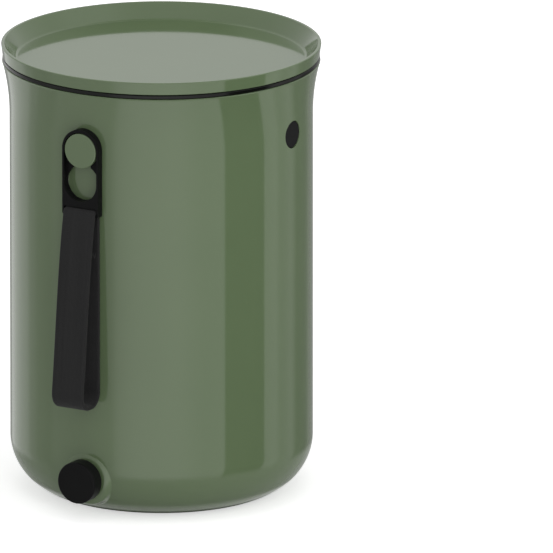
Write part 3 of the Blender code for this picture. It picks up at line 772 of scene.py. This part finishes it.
def build_bracket():
    back, front, recess_floor = 109.9 * MM, 115.9 * MM, 111.9 * MM
    behind, beyond = back - 2 * MM, front + 2 * MM
    recess_r, head_hole_r, slot_r = 13.4 * MM, 13.1 * MM, 6.5 * MM
    window_x, window_low, window_top = 13.3, -97, -41.8
    bar_half_length = 14 * MM
    window = mm([(-window_x, window_low), (window_x, window_low), (window_x, window_top),
                 (-window_x, window_top)])
    plate = cut(
        prism(plate_outline(), back, front),
        prism(stadium(recess_r, KEYHOLE_DROP), recess_floor, beyond),
        moved(rod(head_hole_r, behind, beyond, MEDIUM), y=KEYHOLE_DROP),
        prism(stadium(slot_r, KEYHOLE_DROP), behind, beyond),
        prism(window, behind, beyond))
    bar = placed(rod(BAR_R, -bar_half_length, bar_half_length), Matrix.Rotation(math.pi / 2, 4, "Y"))
    plate = join(plate, moved(bar, y=BAR_Z, z=BAR_OUT))
    piece("strap_bracket_fine", placed(plate, to_front(FITTING_Z)), "strap_plate",
          SATIN_BLACK, ["strap_bracket"], sharp=40, bevel=0.35 * MM)


def bezier(start, start_pull, end_pull, end, steps):
    """Points on a cubic curve, both ends left out."""
    points = []
    for i in range(1, steps):
        t = i / steps
        weights = ((1 - t) ** 3, 3 * t * (1 - t) ** 2, 3 * t ** 2 * (1 - t), t ** 3)
        points.append(tuple(sum(w * p[k] for w, p in zip(weights, (start, start_pull, end_pull, end)))
                            for k in (0, 1)))
    return points


def webbing_path():
    """The endless band's middle line as (outward, up) points from the bar's axis."""
    rear_steps = 40
    path = arc((0, 0), WEB_WRAP_R, 180, math.degrees(WEB_TOP_LEAN), steps=24)
    front_centre = (WEB_FRONT_OUT - WEB_FRONT_ROUND, WEB_BOTTOM + WEB_FRONT_ROUND)
    rear_centre = (-WEB_WRAP_R + WEB_REAR_ROUND, WEB_BOTTOM + WEB_REAR_ROUND)
    front_start = 360 + math.degrees(WEB_BOTTOM_LEAN)
    front_turn = arc(front_centre, WEB_FRONT_ROUND, front_start, 270, steps=20)
    high, low = path[-1], front_turn[0]
    pull = (high[1] - low[1]) / 3
    low_pull = (low[0] - pull * math.tan(WEB_BOTTOM_LEAN), low[1] + pull)
    high_pull = (high[0] + pull * math.tan(WEB_TOP_LEAN), high[1] - pull)
    path += bezier(high, high_pull, low_pull, low, steps=50)
    path += front_turn
    path += arc(rear_centre, WEB_REAR_ROUND, 270, 180, steps=18)
    path += [(-WEB_WRAP_R, rear_centre[1] * (1 - i / rear_steps)) for i in range(1, rear_steps)]
    return path


def band_section():
    """The band's section as (across, thickness) points, with rounded selvedges."""
    flat_steps = 12
    w, t = WEB_HALF_W, WEB_T / 2
    corners = soften([(-w, -t, WEB_EDGE), (w, -t, WEB_EDGE), (w, t, WEB_EDGE), (-w, t, WEB_EDGE)],
                     closed=True)
    flat = 2 * (w - WEB_EDGE)
    section = []
    for point, following in zip(corners, corners[1:] + corners[:1]):
        section.append(point)
        steps = flat_steps if math.dist(point, following) > flat / 2 else 1
        section += [(point[0] + (following[0] - point[0]) * i / steps, point[1]) for i in range(1, steps)]
    return section


def build_webbing():
    """The band, swept along its path, with its map of metres across and along."""
    path = webbing_path()
    section = band_section()
    bm = bmesh.new()
    uv = bm.loops.layers.uv.new("weave")
    rings = []
    lengths = [0.0]
    for i, point in enumerate(path):
        before = path[i - 1]
        after = path[(i + 1) % len(path)]
        run = math.dist(before, after)
        normal = (-(after[1] - before[1]) / run, (after[0] - before[0]) / run)
        lengths.append(lengths[-1] + math.dist(point, after))
        rings.append([bm.verts.new((across, point[1] + normal[1] * offset, point[0] + normal[0] * offset))
                      for across, offset in section])
    girth = [0.0]
    for point, following in zip(section, section[1:] + section[:1]):
        girth.append(girth[-1] + math.dist(point, following))
    count = len(section)
    for i, ring in enumerate(rings):
        following = rings[(i + 1) % len(rings)]
        for k in range(count):
            n = (k + 1) % count
            face = bm.faces.new((ring[k], ring[n], following[n], following[k]))
            for corner, (row, column) in zip(face.loops, ((i, k), (i, k + 1), (i + 1, k + 1), (i + 1, k))):
                corner[uv].uv = (girth[column], lengths[row])
    bmesh.ops.recalc_face_normals(bm, faces=bm.faces)
    band = placed(bm, to_front(FITTING_Z + BAR_Z, BAR_OUT))
    piece("strap_band", band, "strap_loop", WEBBING, ["strap_webbing"], sharp=50)


def stitch(bm, start, end, surface, side):
    """One thread stitch between two (across, up) points, bowed off the band's surface."""
    steps, sides = 6, 8
    bow_share, height_share = 1.3, 0.8
    direction = Vector((end[0] - start[0], end[1] - start[1], 0))
    across = Vector((-direction.y, direction.x, 0)).normalized()
    outward = Vector((0, 0, side))
    rings = []
    for i in range(steps + 1):
        t = i / steps
        bow = (1 - (2 * t - 1) ** 4) * THREAD_R * bow_share - THREAD_R * bow_share
        centre = Vector((*start, surface)) + direction * t + outward * bow
        ring = []
        for k in range(sides):
            angle = math.tau * k / sides
            ring.append(bm.verts.new(centre + across * THREAD_R * math.cos(angle) +
                                     outward * THREAD_R * height_share * math.sin(angle)))
        rings.append(ring)
    for low, high in zip(rings, rings[1:]):
        bridge(bm, low, high, sides)
    bm.faces.new(rings[0])
    bm.faces.new(list(reversed(rings[-1])))


def build_stitching():
    """A zigzag across the rear ply, where the band's two ends meet and are sewn together."""
    turns = [(-SEAM_HALF_W + 2 * SEAM_HALF_W * i / SEAM_STITCHES, SEAM_Z + SEAM_REACH * (-1) ** i)
             for i in range(SEAM_STITCHES + 1)]
    bm = bmesh.new()
    for surface, side in ((-WEB_WRAP_R + WEB_T / 2, 1), (-WEB_WRAP_R - WEB_T / 2, -1)):
        for start, end in zip(turns, turns[1:]):
            stitch(bm, start, end, surface, side)
    bmesh.ops.recalc_face_normals(bm, faces=bm.faces)
    seam = placed(bm, to_front(FITTING_Z + BAR_Z, BAR_OUT))
    piece("strap_stitching", seam, "strap_loop", THREAD, [])


# Drain knob and fasteners

def flat_seal(node, inner, outer, low, high, height):
    """A flat rubber ring on a fitting in the pot's wall."""
    edge = 0.3
    section = mm(soften([(inner, low, edge), (outer, low, edge), (outer, high, edge),
                         (inner, high, edge)], closed=True))
    ring = placed(turned(section, MEDIUM, closed=True), to_front(height))
    piece(node + "_fine", ring, "pot", RUBBER, [node])


def hexagon_nut(node, bore, flange, across, low, high, height):
    """A flanged nut inside the pot's wall; small turns keep the joined shapes' corners apart."""
    flange_t, overlap, clearance = 1.6, 0.8, 2
    flange_turn, bore_turn = 0.02, 0.01
    corner = across / math.sqrt(3)
    hexagon = [(*point, 0.5 * MM) for point in arc((0, 0), corner * MM, 0, 300, steps=5)]
    nut = prism(soften(hexagon, closed=True), low * MM, (high - overlap) * MM)
    washer = rod(flange * MM, (high - flange_t) * MM, high * MM, MEDIUM)
    hole = rod(bore * MM, (low - clearance) * MM, (high + clearance) * MM, MEDIUM)
    nut = join(nut, placed(washer, Matrix.Rotation(flange_turn, 4, "Z")))
    nut = cut(nut, placed(hole, Matrix.Rotation(bore_turn, 4, "Z")))
    piece(node + "_fine", placed(nut, to_front(height)), "pot", SATIN_BLACK, [node],
          sharp=40, bevel=0.25 * MM)


def build_fasteners():
    flat_seal("stud_gasket", inner=4.3, outer=9, low=104, high=105.5, height=FITTING_Z)
    hexagon_nut("stud_nut", bore=4.3, flange=9, across=13, low=97.6, high=103.7, height=FITTING_Z)
    flat_seal("spigot_gasket", inner=9.2, outer=11.8, low=109.7, high=111, height=DRAIN_Z)
    flat_seal("spigot_washer", inner=9.2, outer=13.2, low=105, high=106.3, height=DRAIN_Z)
    hexagon_nut("spigot_nut", bore=9.2, flange=13.2, across=22.5, low=99.6, high=104.7, height=DRAIN_Z)


def build_bush():
    """The flanged bush in which the knob's core turns, with the port that lets the liquid in."""
    bore, barrel, flange = 6.3, 8.9, 11.8
    inner_end, shoulder, outer_end = 91.2, 111.3, 113.3
    bush = mm(soften([
        (bore, inner_end, 0.3), (barrel, inner_end, 0.4), (barrel, shoulder), (flange, shoulder, 0.3),
        (flange, outer_end, 0.3), (bore, outer_end, 0.3)], closed=True))
    port_r, port_start, port_end = 3 * MM, 3 * MM, 18 * MM
    inlet = placed(rod(port_r, port_start, port_end), Matrix.Rotation(math.pi / 2, 4, "X"))
    body = cut(turned(bush, MEDIUM, closed=True), moved(inlet, z=INLET_AT * MM))
    piece("spigot_bush", placed(body, to_front(DRAIN_Z)), "pot", SATIN_BLACK,
          ["spigot_body"])


def knob_profile():
    """The knob's outline, from the core's inner end past its grooves to the skirt and the face."""
    core_r, skirt_in, skirt_out = 6, 13.2, 15.3
    inner_end, skirt_edge, recess, face = 88.6, 112.1, 120.6, 122.7
    clip_groove_half, clip_groove_floor = 0.7, 4.8
    ring_groove_half, ring_groove_floor = 1.15, 4
    grooves = [(CLIP_AT, clip_groove_half, clip_groove_floor)]
    grooves += [(at, ring_groove_half, ring_groove_floor) for at in sorted(O_RINGS_AT.values())]
    profile = [(0, inner_end), (core_r, inner_end, 0.4)]
    for at, half, floor in grooves:
        profile += [(core_r, at - half, 0.1), (floor, at - half, 0.1), (floor, at + half, 0.1),
                    (core_r, at + half, 0.1)]
    profile += [(core_r, recess, 0.3), (skirt_in, recess, 0.4), (skirt_in, skirt_edge, 0.2),
                (skirt_out, skirt_edge, 0.4), (skirt_out, face, 1.1), (0, face)]
    return mm(soften(profile))


def build_knob():
    """The knob and its channel: in at the core's side, along its axis, out through the skirt."""
    channel_r, channel_start, channel_end = 2.4 * MM, 93.8 * MM, 118.1 * MM
    spout_r, spout_start, spout_end = 3.2 * MM, 2.4 * MM, 14.2 * MM
    port_r, outlet_length, inlet_length = 2.2 * MM, 31 * MM, 12 * MM
    left = Matrix.Rotation(-math.pi / 2, 4, "Y")
    spout = placed(rod(spout_r, spout_start, spout_end), left)
    outlet = placed(rod(port_r, 0, outlet_length), left)
    inlet = placed(rod(port_r, 0, inlet_length), left)
    knob = cut(
        join(turned(knob_profile(), MEDIUM), moved(spout, z=OUTLET_AT * MM)),
        rod(channel_r, channel_start, channel_end),
        moved(outlet, z=OUTLET_AT * MM),
        moved(inlet, z=INLET_AT * MM))
    piece("knob_fine", placed(knob, to_front(DRAIN_Z)), "drain_knob", SATIN_BLACK,
          ["spigot_knob"])


def build_knob_rings():
    """The O-rings and the spring clip in the grooves of the knob's core."""
    ring_r, thickness_r, sides = 5.15, 0.85, 16
    for name, at in O_RINGS_AT.items():
        circle = mm(arc((ring_r, at), thickness_r, 0, 360 - 360 / sides, sides - 1))
        ring = placed(turned(circle, MEDIUM, closed=True), to_front(DRAIN_Z))
        piece(name + "_fine", ring, "drain_knob", RUBBER, [name])
    inner, outer, half = 5.1, 8, 0.4
    low, high = CLIP_AT - half, CLIP_AT + half
    section = mm(soften([(inner, low, 0.1), (outer, low, 0.15), (outer, high, 0.15),
                         (inner, high, 0.1)], closed=True))
    clip = turned(section, MEDIUM, closed=True, sweep=math.radians(300))
    piece("knob_clip_fine", placed(clip, to_front(DRAIN_Z)), "drain_knob", STEEL, ["knob_clip"])


# Studio

def direction(azimuth, elevation):
    """The direction from the object at these angles in radians, azimuth 0 being the front."""
    return Vector((math.sin(azimuth) * math.cos(elevation), -math.cos(azimuth) * math.cos(elevation),
                   math.sin(elevation)))


def soft_share(tree, off, half, soft):
    """1 inside a box and 0 outside it, changing smoothly over its soft edge, in degrees."""
    return mapped(tree, off, math.radians(half - soft), math.radians(half + soft), 1.0, 0.0, True)


def studio_light(tree):
    """What a glossy surface sees: soft boxes and dark flags round the table, each laid over the last.

    A panel is (middle, half width, soft edge, level), in degrees round from the camera's side; a
    height band is (start, end, level), as shares of straight up; a spot is (azimuth, elevation,
    half width, soft edge, level). The remarks say where the wall shows each panel.
    """
    base_level = 0.7
    panels = [
        (-141.5, 19.5, 4, 1.05),   # beside the left edge
        (-170, 7, 3, 0.4),         # along the left edge
        (-102, 10, 4, 0.52),       # left half, dim
        (7, 43, 3, 1.1),           # the middle, wide
        (-4, 26, 14, 1.45),        # the middle, brightest
        (97, 18, 9, 0.6),          # right half, dim
        (92, 8, 4, 0.95),          # a line in the right half
        (144.5, 23.5, 6, 0.2),     # beside the right edge, dark
        (158, 12, 6, 0.36),        # nearer the right edge, less dark
        (67.2, 17.8, 0.5, 0.0),    # between the middle and the right half, black
        (179, 5, 3, 0.85),         # along the right edge
    ]
    height_bands = [(0.0, 0.22, 0.85), (0.45, 0.68, 0.8), (-0.75, -0.95, 0.1)]
    spots = [(180, 80, 24, 6, 0.1), (75, 50, 20, 12, 1.15)]
    split = add(tree, "ShaderNodeSeparateXYZ")
    feed(tree, split.inputs[0], add(tree, "ShaderNodeTexCoord").outputs["Generated"])
    x, y, z = split.outputs
    flat = maths(tree, "SQRT", maths(tree, "SUBTRACT", 1.0, maths(tree, "MULTIPLY", z, z)))
    flat = maths(tree, "MAXIMUM", flat, 0.001)
    level = base_level
    for middle, half, soft, strength in panels:
        angle = CAMERA_AZIMUTH + math.radians(middle)
        towards = maths(tree, "ADD", maths(tree, "MULTIPLY", x, math.sin(angle)),
                        maths(tree, "MULTIPLY", y, -math.cos(angle)))
        off = maths(tree, "ARCCOSINE", maths(tree, "DIVIDE", towards, flat))
        level = mixed_level(tree, soft_share(tree, off, half, soft), level, strength)
    for start, end, strength in height_bands:
        level = mixed_level(tree, mapped(tree, z, start, end, 0.0, 1.0, True), level, strength)
    for azimuth, elevation, half, soft, strength in spots:
        towards = 0.0
        middle = direction(CAMERA_AZIMUTH + math.radians(azimuth), math.radians(elevation))
        for part, along in zip((x, y, z), middle):
            towards = maths(tree, "ADD", towards, maths(tree, "MULTIPLY", part, along))
        off = maths(tree, "ARCCOSINE", towards)
        level = mixed_level(tree, soft_share(tree, off, half, soft), level, strength)
    return level


def build_world():
    """White for the camera, soft boxes for gloss and an even light for everything else."""
    world = bpy.data.worlds.new("studio")
    bpy.context.scene.world = world
    world.use_nodes = True
    tree = world.node_tree
    tree.nodes.clear()
    rays = add(tree, "ShaderNodeLightPath")
    plain = add(tree, "ShaderNodeBackground")
    plain.inputs["Strength"].default_value = AMBIENT
    boxes = add(tree, "ShaderNodeBackground")
    feed(tree, boxes.inputs["Strength"], studio_light(tree))
    white = add(tree, "ShaderNodeBackground")
    white.inputs["Strength"].default_value = 1.0
    for lit in (plain, boxes, white):
        lit.inputs["Color"].default_value = (1, 1, 1, 1)
    glossy = mixed_shader(tree, rays.outputs["Is Glossy Ray"], plain, boxes)
    through = maths(tree, "MAXIMUM", rays.outputs["Is Camera Ray"], rays.outputs["Is Transmission Ray"])
    seen = mixed_shader(tree, through, glossy, white)
    feed(tree, add(tree, "ShaderNodeOutputWorld").inputs[0], seen.outputs[0])


def build_floor():
    """A pale floor that keeps the shadow; a glossy surface sees only the table's round top, where a ring
    under the foot glows for glossy rays alone as a painted reflection.
    """
    bm = bmesh.new()
    bmesh.ops.create_grid(bm, x_segments=8, y_segments=8, size=4)
    item = bpy.data.objects.new("floor", mesh_of(moved(bm, z=FLOOR_DROP), "floor"))
    bpy.context.scene.collection.objects.link(item)
    material, tree, shader, place = new_material("pale_floor")
    tree.nodes.remove(shader)
    output = tree.nodes["Material Output"]
    diffuse = add(tree, "ShaderNodeBsdfDiffuse")
    feed(tree, diffuse.inputs["Color"],
         mixed_colour(tree, noise(tree, place, scale=3), (0.80, 0.80, 0.80), (0.82, 0.82, 0.82)))
    length = add(tree, "ShaderNodeVectorMath", operation="LENGTH")
    feed(tree, length.inputs[0], place)
    span = length.outputs["Value"]
    rays = add(tree, "ShaderNodeLightPath")
    seen = mapped(tree, span, low=0.2, high=1.2, new_low=0.58, new_high=0.85)
    # For glossy rays only, the floor glows most in a ring just under the foot's edge and faintly beyond
    # it. This is a painted reflection: the bright strip along the foot's lowest rounding.
    brightening = mapped(tree, span, low=0.083, high=0.087, new_low=0.0, new_high=0.45, smooth=True)
    dimming = mapped(tree, span, low=0.0905, high=0.097, new_low=1.0, new_high=0.15, smooth=True)
    painted_foot_reflection = maths(tree, "MULTIPLY", brightening, dimming)
    glow = add(tree, "ShaderNodeEmission")
    feed(tree, glow.inputs["Strength"],
         maths(tree, "ADD", maths(tree, "MULTIPLY", rays.outputs["Is Camera Ray"], seen),
               maths(tree, "MULTIPLY", rays.outputs["Is Glossy Ray"], painted_foot_reflection)))
    lit = add(tree, "ShaderNodeAddShader")
    feed(tree, lit.inputs[0], diffuse.outputs[0])
    feed(tree, lit.inputs[1], glow.outputs[0])
    beyond = mapped(tree, span, GLOSSY_TABLE_R, GLOSSY_TABLE_EDGE, 0.0, 1.0, True)
    back = add(tree, "ShaderNodeNewGeometry").outputs["Backfacing"]
    hidden = maths(tree, "MAXIMUM", back, maths(tree, "MULTIPLY", beyond, rays.outputs["Is Glossy Ray"]))
    choice = mixed_shader(tree, hidden, lit, add(tree, "ShaderNodeBsdfTransparent"))
    feed(tree, output.inputs["Surface"], choice.outputs[0])
    item.data.materials.append(material)


def area_lamp(name, azimuth, elevation, distance, size, level):
    """A soft box, in degrees from the camera's side, whose power follows its distance squared."""
    data = bpy.data.lights.new(name, "AREA")
    data.shape = "SQUARE"
    data.size = size
    data.energy = level * math.pi ** 2 * distance ** 2
    item = bpy.data.objects.new(name, data)
    bpy.context.scene.collection.objects.link(item)
    back = direction(CAMERA_AZIMUTH + math.radians(azimuth), math.radians(elevation))
    item.location = Vector((0, 0, AIM_Z)) + back * distance
    item.rotation_euler = (-back).to_track_quat("-Z", "Y").to_euler()
    item.visible_glossy = False
    item.visible_camera = False


def build_camera():
    back = direction(CAMERA_AZIMUTH, CAMERA_ELEVATION)
    right = Vector((math.cos(CAMERA_AZIMUTH), math.sin(CAMERA_AZIMUTH), 0))
    up = back.cross(right)
    data = bpy.data.cameras.new("camera")
    data.sensor_width = 36
    data.lens = CAMERA_DISTANCE / METRES_PER_PIXEL * data.sensor_width / FRAME_PIXELS
    data.clip_end = 2 * CAMERA_DISTANCE
    camera = bpy.data.objects.new("camera", data)
    bpy.context.scene.collection.objects.link(camera)
    aim = Vector((0, 0, AIM_Z))
    camera.location = aim + back * CAMERA_DISTANCE
    towards = aim + right * FRAME_RIGHT + up * FRAME_UP - camera.location
    level_right = towards.cross(Vector((0, 0, 1))).normalized()
    true_up = level_right.cross(towards).normalized()
    turn = Matrix((level_right, true_up, -towards.normalized())).transposed()
    camera.rotation_euler = turn.to_euler()
    bpy.context.scene.camera = camera


build_pot_shell()
build_pot_trim()
build_lid()
build_strainer()
build_stud()
build_bracket()
build_webbing()
build_stitching()
build_fasteners()
build_bush()
build_knob()
build_knob_rings()
build_world()
build_floor()
area_lamp("key", azimuth=35, elevation=22, distance=1.8, size=2.2, level=0.53)
area_lamp("overhead", azimuth=10, elevation=82, distance=1.5, size=1.4, level=0.26)
area_lamp("back_left", azimuth=-110, elevation=25, distance=1.8, size=1.4, level=0.18)
build_camera()
bpy.context.scene.view_settings.view_transform = "Standard"
